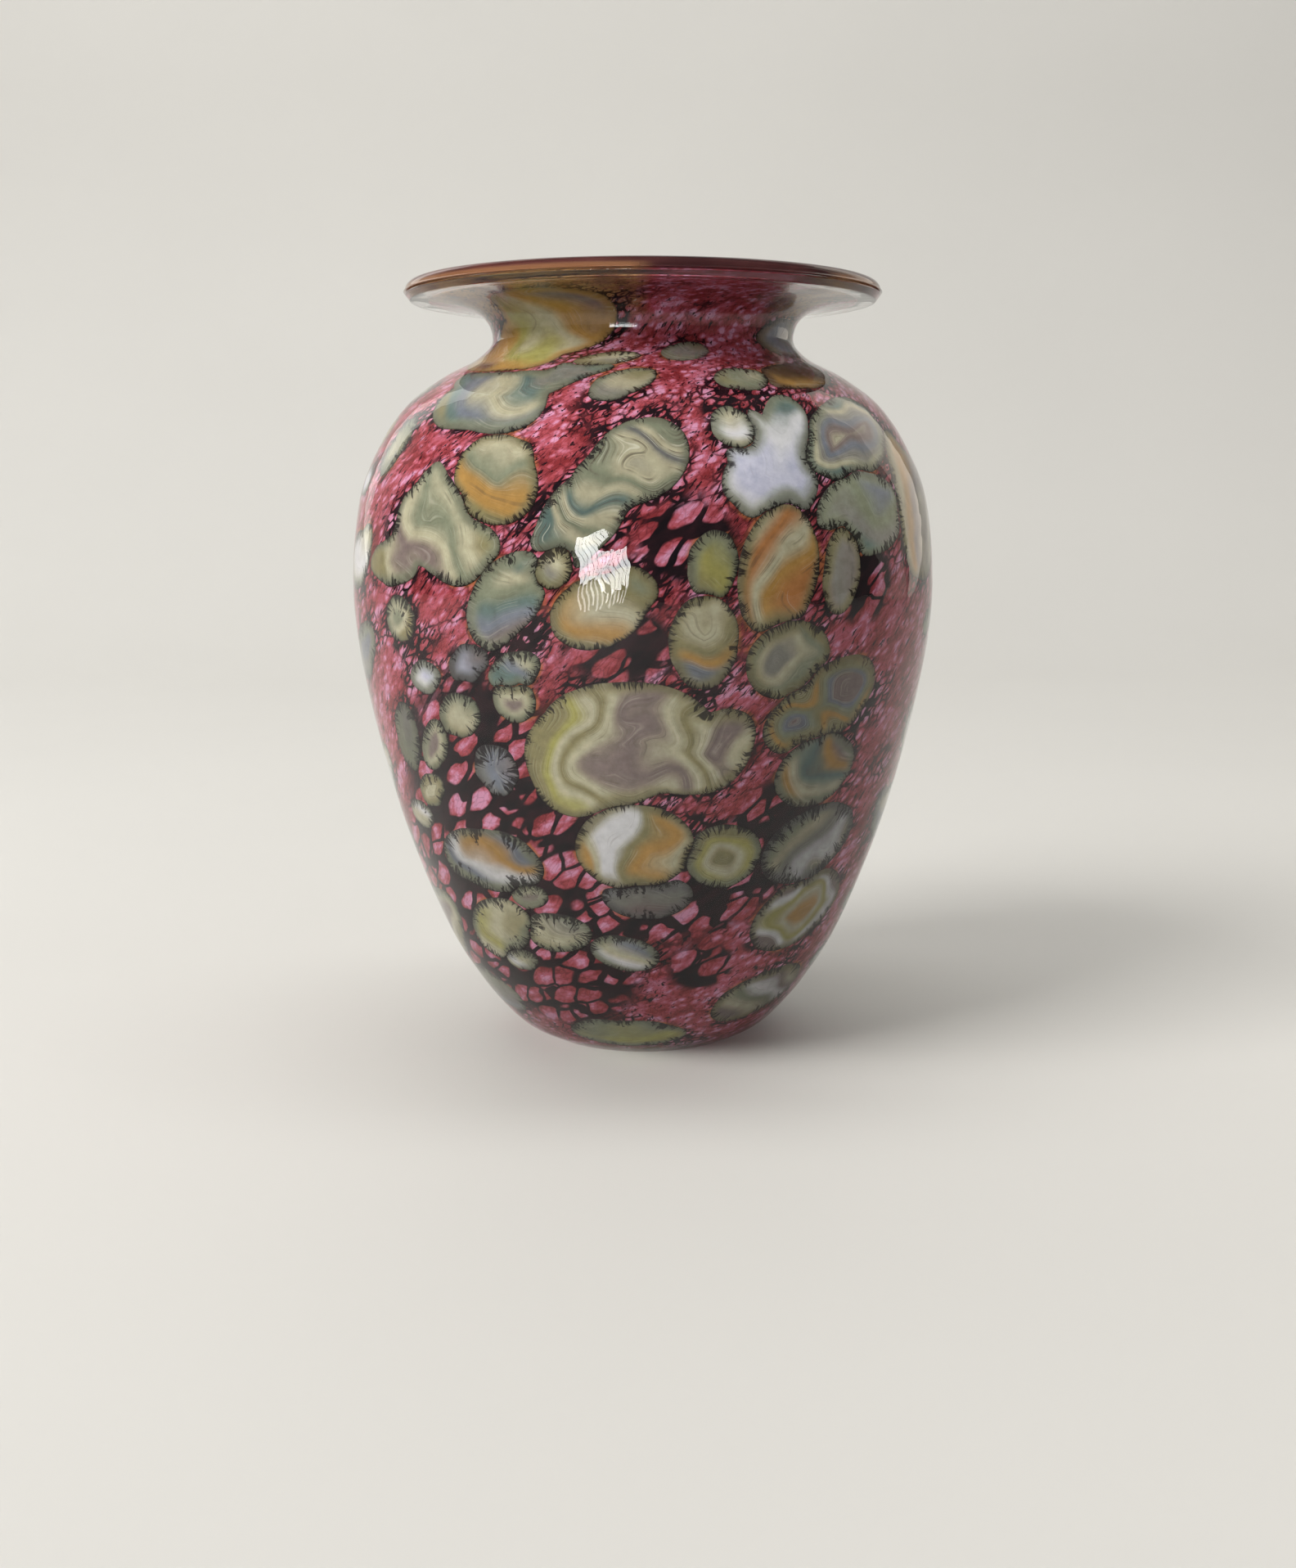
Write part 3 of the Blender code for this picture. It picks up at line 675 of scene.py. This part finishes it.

# look: colours, the rim's first and then one after another; "rings", or the way across the bands in
# degrees; how strong the fine lines are; hair length in mm; and a factor on the colours, matched to
# how bright each chip looks, so partly the chip's own tone and partly painted light and shade
LOOKS = {
    "chip_front_plaque": ((OLIVE, OLIVE, LIME, CREAM, OLIVE, CREAM, MAUVE, CREAM, OLIVE, CREAM, MAUVE),
                          6, 0.45, 1.2, 1.05),
    "chip_agate_white": ((OLIVE, AMBER, CREAM, WHITE, WHITE, OLIVE, AMBER, CREAM, AMBER), 6, 0.4, 0.8, 1.0),
    "chip_grey_mauve": ((SLATE, MAUVE, GREY, BLUE), 100, 0.3, 1.6, 0.75),
    "chip_round_olive": ((SAGE, OLIVE, LIME, CREAM, OLIVE), "rings", 0.45, 1.2, 0.9),
    "chip_olive_mauve": ((OLIVE, OLIVE, AMBER, OLIVE, SAGE, BLUE, MAUVE), "rings", 0.4, 1.4, 0.85),
    "chip_green_amber": ((SAGE, SAGE, AMBER, CREAM, TEAL, AMBER, MAUVE), 55, 0.4, 1.2, 0.8),
    "chip_feather_grey": ((SLATE, SAGE, CREAM, GREY, WHITE, OLIVE), -40, 0.35, 2.6, 0.6),
    "chip_gold_swirl": ((OLIVE, MAUVE, WHITE, LIME, CREAM, AMBER), "rings", 0.4, 1.2, 0.75),
    "chip_base_cream": ((OLIVE, MAUVE, CREAM, SAGE, WHITE, MAUVE, CREAM), 60, 0.35, 1.6, 0.75),
    "chip_base_green": ((SAGE, OLIVE, LIME, SAGE), 95, 0.3, 1.4, 1),
    "chip_base_blue": ((SAGE, BLUE, GREY, SAGE), 70, 0.3, 1.4, 1.0),
    "chip_gold_fleck": ((SAGE, SAGE, BLUE, WHITE, AMBER, BLUE, GREY), 65, 0.4, 2.2, 0.75),
    "chip_cream_left": ((SAGE, CREAM, LIME, CREAM, OLIVE), 40, 0.35, 1.8, 0.95),
    "chip_feather_low": ((SAGE, OLIVE, CREAM, GREY), 80, 0.35, 2.6, 0.9),
    "chip_white_low": ((SAGE, GREY, WHITE, CREAM, BLUE), 60, 0.3, 1.4, 1.0),
    "chip_grey_round": ((SLATE, GREY, BLUE, MAUVE), 20, 0.3, 3.0, 1.0),
    "chip_green_upper": ((SAGE, OLIVE, CREAM, SAGE), 30, 0.35, 1.6, 0.9),
    "chip_left_sage": ((SAGE, OLIVE, SAGE, GREY), 50, 0.3, 1.6, 0.65),
    "chip_left_edge": ((SAGE, OLIVE, CREAM, SAGE), 60, 0.3, 1.6, 0.8),
    "chip_right_amber": ((OLIVE, CREAM, AMBER, MAUVE, CREAM), -15, 0.35, 1.2, 1.0),
    "chip_neck_amber": ((AMBER, BROWN, AMBER, LIME, CREAM, AMBER, MAUVE), 40, 0.3, 0.4, 1.05),
    "chip_shoulder_teal": ((SAGE, OLIVE, TEAL, BLUE, CREAM, TEAL, GREY, TEAL), 50, 0.35, 0.8, 0.85),
    "chip_collar_grey": ((SAGE, GREY, CREAM, OLIVE), 70, 0.35, 0.8, 0.8),
    "chip_collar_pebble": ((SAGE, SAGE, GREY, OLIVE), 40, 0.35, 0.8, 1.0),
    "chip_amber_stripe": ((OLIVE, OLIVE, AMBER, AMBER, SAGE, CREAM, SAGE), 72, 0.45, 1.0, 0.85),
    "chip_olive_wing": ((SAGE, OLIVE, CREAM, MAUVE, CREAM, SAGE, CREAM, OLIVE), 35, 0.4, 1.4, 0.95),
    "chip_left_round": ((SAGE, OLIVE, CREAM, SAGE), "rings", 0.35, 2.4, 1.0),
    "chip_blue_green": ((SAGE, MAUVE, BLUE, TEAL, SAGE, CREAM, TEAL), 62, 0.35, 1.4, 0.95),
    "chip_lilac": ((SLATE, MAUVE, LAVENDER, MAUVE), 45, 0.15, 1.2, 0.6),
    "chip_zebra": ((SAGE, TEAL, CREAM, SAGE, CREAM, TEAL, CREAM, SAGE, CREAM, SLATE, CREAM, SAGE),
                   58, 0.9, 1.2, 0.8),
    "chip_window_oval": ((OLIVE, SAGE, AMBER, CREAM, OLIVE, SAGE), 25, 0.4, 1.0, 0.9),
    "chip_white_kite": ((SAGE, WHITE, LAVENDER, LAVENDER, WHITE, TEAL), 75, 0.12, 0.8, 1.0),
    "chip_collar_green": ((SAGE, OLIVE, SAGE, CREAM), 50, 0.35, 1.2, 1.0),
    "chip_mauve_shoulder": ((SAGE, TEAL, CREAM, GREY, BLUE, MAUVE, CREAM), "rings", 0.3, 1.0, 1.1),
    "chip_teal_shoulder": ((SAGE, TEAL, GREY, SAGE, BLUE), 65, 0.4, 1.2, 1.5),
    "chip_mauve_drop": ((OLIVE, MAUVE, GREY, MAUVE), 10, 0.35, 1.2, 1.4),
    "chip_neck_ochre": ((BROWN, AMBER, BROWN, MAUVE), 80, 0.4, 0.6, 1),
    "chip_neck_grey": ((BROWN, GREY, BLUE, OLIVE), 20, 0.4, 0.6, 1.4),
    "chip_orange": ((OLIVE, CREAM, ORANGE, CREAM, AMBER, ORANGE, OLIVE), -18, 0.5, 1.0, 1.0),
    "chip_olive_seed": ((OLIVE, OLIVE, SAGE, CREAM, GREY), "rings", 0.45, 1.2, 0.9),
    "chip_lime_seed": ((SAGE, OLIVE, LIME, SAGE), 25, 0.35, 1.0, 0.85),
    "chip_banded_blue": ((OLIVE, BLUE, BLUE, AMBER, OLIVE, CREAM, OLIVE), 92, 0.45, 1.0, 0.95),
}
LOOK_BY_SLOT = {
    "chip_glass_olive": ((SAGE, OLIVE, CREAM, MAUVE), "rings", 0.4, 1.6, 1.0),
    "chip_glass_sage": ((OLIVE, SAGE, GREY, CREAM, SAGE), 50, 0.35, 1.6, 1.0),
    "chip_glass_teal": ((SAGE, TEAL, BLUE, CREAM, TEAL), 60, 0.4, 1.6, 1.0),
    "chip_glass_amber": ((OLIVE, AMBER, CREAM, AMBER, OLIVE), 30, 0.45, 1.2, 1.0),
    "chip_glass_cream": ((SAGE, CREAM, WHITE, CREAM), 70, 0.3, 1.6, 1.0),
    "chip_glass_mauve": ((OLIVE, MAUVE, GREY, MAUVE, SAGE), 20, 0.35, 1.6, 1.0),
    "chip_glass_lavender": ((SAGE, LAVENDER, WHITE, LAVENDER), 50, 0.25, 1.2, 1.0),
    "chip_glass_slate": ((SAGE, SLATE, GREY, BLUE), "rings", 0.4, 1.4, 1.0),
}
SMALL_CHIPS = [
    ("collar_sage", -11, 158.5, "sage", [(0, 0, 7, 2.6, 15)]),
    ("lavender_dot", -46.5, 92.3, "lavender", [(0, 0, 4.6, 3, 10)]),
    ("teal_spot", -24.5, 94.8, "teal", [(0, 0, 6, 3.4, 25)]),
    ("shell_oval", -16, 116.5, "sage", [(0, 0, 4.6, 3.2, 50)]),
    ("white_green", 19, 144.5, "cream", [(0, 0, 4, 4.8, 30)]),
    ("bud", -25, 88.5, "olive", [(0, 0, 4.4, 4.2, 0)]),
    ("feather_small", -29, 43.5, "olive", [(0, 0, 4.2, 2.6, 10)]),
    ("cream_seed", -38, 26.6, "cream", [(0, 0, 4.2, 2.6, 10)]),
    ("green_lower", -47.5, 77, "olive", [(0, 0, 6.5, 3.4, 55)]),
    ("left_white", -60.5, 59.3, "cream", [(0, 0, 5, 2.8, 0)]),
    ("left_olive", -52.5, 66, "olive", [(0, 0, 5, 3, 30)]),
]
# joined ovals that a chip spreads over beyond its CAD solid, from the solid's middle
SPREAD = {
    "chip_neck_amber": [(4, 7, 16, 12, -5), (-5, -7, 14, 7, -8)],
    "chip_shoulder_teal": [(20, 12, 11.5, 5, 15), (-12, 6, 12, 5.5, -15), (1, -2, 11, 8, -10)],
    "chip_collar_grey": [(0, -1, 8, 4, 35)],
    "chip_amber_stripe": [(0.5, -1.5, 11.5, 9, -35)],
    "chip_olive_wing": [(13, -5, 10, 7.5, 10), (-11, -8.5, 11, 4.5, -5), (1, 2, 10.5, 8, 15)],
    "chip_blue_green": [(1, 1, 11.5, 7.5, 45)],
    "chip_zebra": [(-11.5, -13.5, 10, 6, 48), (-6, -5, 10, 7.5, 40), (5.5, 7, 12, 9, 30)],
    "chip_window_oval": [(0.5, -0.5, 10.5, 7.5, 20), (8.5, 5, 5, 3.5, -30)],
    "chip_white_kite": [(6, 9, 8, 6, 55), (-1, -4, 11, 9.5, 30), (-6, 6, 7, 4.5, 60)],
    "chip_mauve_shoulder": [(1.5, -0.5, 17, 9, 20)],
    "chip_teal_shoulder": [(-0.5, -1.5, 15, 9, 5)],
    "chip_mauve_drop": [(0, 0, 9.5, 5.5, 80)],
    "chip_right_amber": [(-4, 2, 17, 9, 85)],
    "chip_orange": [(0, 0.5, 14, 9.5, 75)],
    "chip_lime_seed": [(0, 0, 7.5, 5.5, 80)],
    "chip_neck_ochre": [(-0.5, -2, 14, 5, 10)],
    "chip_banded_blue": [(0, 0.5, 10, 7.5, 90)],
    "chip_olive_seed": [(0, 0, 10.5, 8.5, 10)],
    "chip_olive_mauve": [(0, 0, 15, 9, 25), (-8.5, -5.5, 8, 6, 0)],
    "chip_green_amber": [(0, 0.5, 11.5, 8.5, 10)],
    "chip_feather_grey": [(0, -0.5, 14, 9.5, 15)],
    "chip_gold_swirl": [(-1, -0.5, 14, 10, 20)],
    "chip_base_cream": [(-1, -1, 13, 8, 20)],
    "chip_base_green": [(0.5, -1.5, 14, 6.5, 0)],
    "chip_front_plaque": [(20, 4, 6, 5, -60), (-12, -8, 11, 7.5, 10), (-2.5, 6.5, 17, 9, 0)],
    "chip_agate_white": [(0.5, 0, 13, 10.5, 5)],
    "chip_grey_mauve": [(0, 1, 10, 6, 0)],
    "chip_round_olive": [(0, 0, 9, 8, -15)],
    "chip_gold_fleck": [(0.5, -1, 15, 8, 0)],
    "chip_cream_left": [(-0.5, -1.5, 11.5, 7.5, 35)],
    "chip_feather_low": [(0, 0.5, 8.5, 5.5, 5)],
    "chip_white_low": [(0, 0, 8, 5, -15)],
}
SLOTS = {part["node"]: part["material_slot"] for part in frame["record"]["subparts"]}


def chip_material(name, look, outline):
    """Opaque reactive glass: marbled bands, fine lines along them and a dark feathered edge."""
    colours, way, contrast, hair, factor = look
    shade = Shader(name)
    local = shade.attribute("local")
    depth = shade.attribute("depth", "Fac")
    core = shade.attribute("core", "Fac")
    edge = shade.attribute("edge")
    bent = shade.warp(shade.warp(local, 0.06, 4.5, 0.0), 0.15, 0.45, 0.0)
    field = shade.noise(bent, 0.09, 0.0, 0.4)
    if way == "rings":
        zone = shade.math("MULTIPLY_ADD", core, 0.90, shade.math("MULTIPLY_ADD", field, 1.3, -0.60))
        span = 2.0 * np.linalg.norm(outline.points, axis=1).mean()
    else:
        across = np.array([math.cos(math.radians(way)), math.sin(math.radians(way))])
        reaches = outline.points @ across
        span = float(reaches.max() - reaches.min())
        x, y = shade.split(bent)[:2]
        zone = shade.math("MULTIPLY_ADD", x, float(across[0]) / span, 0.5 - float(reaches.mean()) / span)
        zone = shade.math("MULTIPLY_ADD", y, float(across[1]) / span, zone)
        zone = shade.math("MULTIPLY_ADD", field, 0.5, shade.math("SUBTRACT", zone, 0.25))
        zone = shade.math("MULTIPLY_ADD", core, 0.18, shade.math("SUBTRACT", zone, 0.07))
    # the look's factor scales every colour: partly the chip's own tone, partly painted light and shade
    inner = [tuple(factor * part for part in colour) for colour in colours]
    last = len(inner) - 2
    stops = [(0.04 + 0.92 * index / last, colour) for index, colour in enumerate(inner[1:])]
    tint = shade.ramp(shade.math("ADD", zone, 0.0, clamp=True), stops, "EASE")
    rim = shade.step(shade.math("MULTIPLY_ADD", field, -5.0, depth), -2.2, 0.6, 0.85, 0.0)
    tint = shade.mix(rim, tint, inner[0])
    cloud = shade.noise(local, 0.40, 5.0, 0.65)
    grain = shade.ramp(cloud, [(0.28, (0.38, 0.37, 0.35)), (0.72, (0.60, 0.59, 0.58))])
    tint = shade.mix(0.8, tint, grain, "OVERLAY")
    layer = shade.math("MULTIPLY", zone, span / LINE_SPACING)
    wave = shade.noise(shade.join(layer, shade.split(local)[2], 0.0), 1.0, 3.0, 0.62)
    breaks = shade.step(shade.noise(local, 0.16, 2.0), 0.42, 0.60)
    lines = shade.math("MULTIPLY", shade.step(wave, 0.53, 0.66), breaks)
    glow = shade.math("MULTIPLY", shade.step(wave, 0.47, 0.34), breaks)
    tint = shade.mix(shade.math("MULTIPLY", lines, 0.95 * contrast), tint, (0.085, 0.070, 0.050))
    tint = shade.mix(shade.math("MULTIPLY", glow, 0.50 * contrast), tint, (0.60, 0.58, 0.48))
    shadow = shade.step(shade.math("MULTIPLY_ADD", field, -1.6, depth), -0.8, 1.4, 0.42, 0.0)
    tint = shade.mix(shadow, tint, (0.050, 0.042, 0.032))
    ring = shade.split(edge)
    strand = shade.noise(shade.join(ring[0], ring[1], shade.math("MULTIPLY", depth, 0.12)), 1.6, 3.0, 0.65)
    strength = shade.noise(edge, 0.10, 2.0)
    reach = shade.step(strand, 0.42, 0.66)
    reach = shade.math("MULTIPLY", reach, shade.step(strength, 0.36, 0.58, 0.2, hair * 2.0))
    reach = shade.math("ADD", reach, shade.step(strength, 0.36, 0.55, -0.15, 0.25))
    feather = shade.step(shade.math("SUBTRACT", depth, reach), -0.6, 0.40, 1.0, 0.0)
    tint = shade.mix(shade.math("MULTIPLY", feather, 0.88), tint, INK)
    shade.set(Base_Color=tint, Roughness=0.5, Specular_IOR_Level=0.0)
    shade.bump(wave, 0.10, 0.0003)
    return shade.material


def add_chips():
    """All chips in the wall; each spreads over free wall, and none lies over another."""
    random = np.random.default_rng(7)
    chips = []
    for name in NODES:
        if name.startswith("chip_"):
            look = LOOKS.get(name, LOOK_BY_SLOT[SLOTS[name]])
            chips.append((cad_outline(name), name, SLOTS[name], look, [name]))
    for name, place, height, colour, lobes in SMALL_CHIPS:
        slot = "chip_glass_" + colour
        chips.append((lobed_outline(place, height, lobes), "chip_" + name, slot, LOOK_BY_SLOT[slot], []))
    outlines = [entry[0] for entry in chips]
    for outline, name, colour in scattered_chips(outlines, random):
        slot = "chip_glass_" + colour
        chips.append((outline, "chip_" + name, slot, LOOK_BY_SLOT[slot], []))
    unseen = [name for name in NODES if name not in LOOKS]
    for seed, (outline, name, slot, look, nodes) in enumerate(chips):
        others = [other for other in outlines if other is not outline]
        outline.spread(SPREAD.get(name, []), BACK_GROWTH if name in unseen else FRONT_GROWTH, others)
        outline.trace(EDGE_STEP, random, EDGE_WAVES)
        label = "glass_" + name
        mesh = chip_mesh(label, outline, seed)
        add_piece(label, mesh, chip_material(label, look, outline), slot, *nodes)
    return outlines


# ---------------------------------------------------------------- turned glass

def store_flow(mesh, squash):
    """Pattern coordinates that twist up round the vase."""
    x, y, height = vertex_places(mesh).T
    store(mesh, "cell", seamless(np.arctan2(x, -y), height, np.hypot(x, y), squash))


def add_ground(outlines):
    mesh, azimuth, travel = ground_mesh()
    radius = np.hypot(*vertex_places(mesh)[:, :2].T)
    store(mesh, "cell", seamless(azimuth, travel, radius, 0.9))
    store(mesh, "streak", seamless(azimuth, travel, radius, 0.32))
    mask, near = ground_masks(azimuth, travel, outlines)
    store(mesh, "mask", mask)
    store(mesh, "near", near)
    add_piece("ruby_ground_shell", mesh, ground_material(), "ruby_ground", "colour_ground")


def casing_material():
    shade = Shader("clear_casing")
    ripple = shade.noise(shade.attribute("cell"), 0.06, 2.0, 0.45)
    shade.set(Base_Color=(0.985, 0.99, 0.985), Roughness=0.0, IOR=1.42, Transmission_Weight=1.0)
    shade.bump(ripple, 1.0, 0.0004)
    return shade.material


def add_casing():
    """The clear outer glass; its inner face lies inside the ground, so no air shows between them."""
    outer = CASING[:STATIONS]
    lip = CASING[STATIONS:len(CASING) - STATIONS]
    outside = np.vstack([outer[:FOOT_EDGE + 1], smooth_curve(outer[FOOT_EDGE:], 6)[1:]])
    radius, height = WALL.level(WALL.travel[::-1], CASING_INSIDE)
    inside = np.stack([radius, height], 1)[1::3]
    inside = np.vstack([inside, [[0.0, inside[-1, 1]]]])
    profile = np.vstack([outside, smooth_curve(np.vstack([outside[-1:], lip]), 3)[1:], inside])
    mesh = turned_mesh("clear_casing", profile, TURNED_AROUND)
    store_flow(mesh, 0.9)
    piece = add_piece("clear_casing_glass", mesh, casing_material(), "clear_casing", "clear_casing")
    piece.visible_shadow = False


def liner_material():
    shade = Shader("opal_liner")
    cell = shade.attribute("cell")
    cloud = shade.noise(shade.warp(cell, 0.04, 8.0), 0.05, 4.0, 0.6)
    tint = shade.ramp(cloud, [(0.3, (0.60, 0.36, 0.34)), (0.5, (0.72, 0.50, 0.47)),
                              (0.72, (0.80, 0.64, 0.60))])
    shade.set(Base_Color=tint, Roughness=0.08, IOR=1.5)
    shade.bump(shade.noise(cell, 0.03, 2.0), 0.25, 0.0008)
    return shade.material


def add_liner():
    closed = np.vstack([LINER, [[0.0, LINER[-1, 1]]]])
    profile = np.minimum(smooth_curve(closed, 4), [REACH, HEIGHT])
    mesh = turned_mesh("opal_liner", profile, TURNED_AROUND)
    store_flow(mesh, 0.5)
    add_piece("opal_liner_glass", mesh, liner_material(), "opal_liner", "inner_liner")


def wrap_material():
    shade = Shader("plum_wrap")
    cell = shade.attribute("cell")
    tint = shade.ramp(shade.noise(cell, 0.06, 3.0),
                      [(0.35, (0.060, 0.016, 0.018)), (0.65, (0.150, 0.045, 0.045))])
    tint = shade.mix(shade.attribute("amber", "Fac"), tint, (0.38, 0.19, 0.09))
    shade.set(Base_Color=tint, Roughness=0.02, IOR=1.5, Transmission_Weight=0.5)
    shade.bump(shade.noise(cell, 0.08, 2.0), 0.2, 0.0005)
    return shade.material


def add_wrap():
    profile = np.minimum(smooth_curve(WRAP, 4, closed=True), [REACH, HEIGHT])
    mesh = turned_mesh("plum_wrap", profile, TURNED_AROUND, closed=True)
    store_flow(mesh, 0.5)
    x, y, height = vertex_places(mesh).T
    under = np.clip((WRAP[:, 1].mean() + 0.05 - height) / 0.6, 0, 1)
    store(mesh, "amber", under * amber_share(np.degrees(np.arctan2(x, -y))))
    piece = add_piece("plum_lip_wrap", mesh, wrap_material(), "plum_wrap", "lip_wrap")
    piece.visible_shadow = False


# ---------------------------------------------------------------- camera, stage and light

CAMERA_DISTANCE = 2.370 * HEIGHT
CAMERA_HEIGHT = 0.736 * HEIGHT
CAMERA_PITCH = 9.57
CAMERA_YAW = 0.161
LENS = 40.1
# lamps and stage are placed in metres
MIDDLE = (0.0, 0.0, 0.09)                    # the point halfway up the vase that the lamps face
ROOM_COLOUR = (0.80, 0.79, 0.76, 1.0)
ROOM_STRENGTH = 0.18
STRIPS = 12                                  # upright strips of light that the window and the sill consist of
STRIP_START = -0.625
STRIP_STEP = 0.042
WINDOW_AWAY, WINDOW_WIDTH, WINDOW_POWER = 1.5, 0.036, 0.60
SILL_AWAY, SILL_WIDTH, SILL_POWER = 0.9, 0.010, 0.030
SILL_SHARE = 0.6                             # the sill's places across, as a share of the window's


def add_camera():
    data = bpy.data.cameras.new("camera")
    data.lens = LENS
    data.sensor_width = 36.0
    camera = bpy.data.objects.new("camera", data)
    camera.location = (0.0, -CAMERA_DISTANCE * MM, CAMERA_HEIGHT * MM)
    camera.rotation_euler = (math.radians(90 - CAMERA_PITCH), 0.0, math.radians(-CAMERA_YAW))
    bpy.context.scene.collection.objects.link(camera)
    bpy.context.scene.camera = camera


def plain_material(name, colour, roughness):
    shade = Shader(name)
    grain = shade.noise(shade.node("NewGeometry").outputs["Position"], 3.0, 4.0)
    tint = shade.ramp(grain, [(0.3, tuple(0.97 * part for part in colour)), (0.7, colour)])
    shade.set(Base_Color=tint, Roughness=roughness)
    return shade.material


def add_stage():
    """A pale floor that curves up into a pale wall well behind the vase."""
    depth, rise, bend, half = 1.3, 2.4, 0.5, 2.5
    line = [(-half, 0.0), (depth - bend, 0.0)]
    line += [(depth - bend + bend * math.sin(turn), bend - bend * math.cos(turn))
             for turn in np.linspace(0, math.pi / 2, 12)[1:]]
    line.append((depth, rise))
    verts = [(x, y, z) for y, z in line for x in (-half, half)]
    faces = [(2 * i, 2 * i + 1, 2 * i + 3, 2 * i + 2) for i in range(len(line) - 1)]
    mesh = bpy.data.meshes.new("floor")
    mesh.from_pydata(verts, [], faces)
    mesh.shade_smooth()
    mesh.materials.append(plain_material("floor", (0.74, 0.73, 0.70), 0.6))
    floor = bpy.data.objects.new("floor", mesh)
    bpy.context.scene.collection.objects.link(floor)


def add_area(name, place, target, width, height, power, colour=(1.0, 1.0, 1.0), mirrored=True):
    """A rectangular lamp that is either only seen mirrored in the glass or only lights."""
    data = bpy.data.lights.new(name, "AREA")
    data.shape = "RECTANGLE"
    data.size, data.size_y = width, height
    data.energy = power
    data.color = colour
    light = bpy.data.objects.new(name, data)
    light.location = place
    light.rotation_euler = (Vector(target) - Vector(place)).to_track_quat("-Z", "Y").to_euler()
    light.visible_camera = False
    light.visible_glossy = mirrored
    light.visible_diffuse = not mirrored
    bpy.context.scene.collection.objects.link(light)


def add_light():
    world = bpy.data.worlds.new("room")
    world.use_nodes = True
    world.node_tree.nodes["Background"].inputs[0].default_value = ROOM_COLOUR
    world.node_tree.nodes["Background"].inputs[1].default_value = ROOM_STRENGTH
    bpy.context.scene.world = world
    random = np.random.default_rng(5)
    for index in range(STRIPS):
        across = STRIP_START + STRIP_STEP * index
        top = 0.40 + random.uniform(-0.015, 0.01)
        foot = 0.14 + random.uniform(-0.03, 0.02)
        add_area("window_%d" % index, (across, -WINDOW_AWAY, 0.5 * (top + foot)), MIDDLE,
                 WINDOW_WIDTH, top - foot, WINDOW_POWER)
        top = 0.135 + random.uniform(-0.02, 0.0)
        foot = 0.012 + random.uniform(0.0, 0.05)
        add_area("sill_%d" % index, (SILL_SHARE * across, -SILL_AWAY, 0.5 * (top + foot)), MIDDLE,
                 SILL_WIDTH, top - foot, SILL_POWER)
    add_area("key", (-1.3, -0.9, 1.5), MIDDLE, 1.0, 1.0, 35.0, (1.0, 0.98, 0.95), False)
    add_area("fill", (1.4, -0.6, 1.0), MIDDLE, 1.2, 1.2, 2.0, (1.0, 1.0, 1.0), False)
    add_area("backdrop", (0.0, 0.2, 2.3), (0.0, 1.3, 0.5), 2.4, 0.8, 23.0, (1.0, 0.99, 0.97), False)
    add_area("right_rim", (1.05, 0.95, 0.50), MIDDLE, 0.55, 1.7, 2.8, (1.0, 0.90, 0.78))
    add_area("right_soft", (1.40, 0.50, 0.50), MIDDLE, 0.55, 1.7, 1.2, (1.0, 0.90, 0.78))
    add_area("left_rim", (-0.92, 1.12, 0.5), MIDDLE, 0.36, 1.6, 1.7, (0.96, 1.0, 0.97))


def add_view():
    bpy.context.scene.view_settings.view_transform = "Standard"


add_camera()
add_stage()
add_light()
add_view()
add_ground(add_chips())
add_casing()
add_liner()
add_wrap()
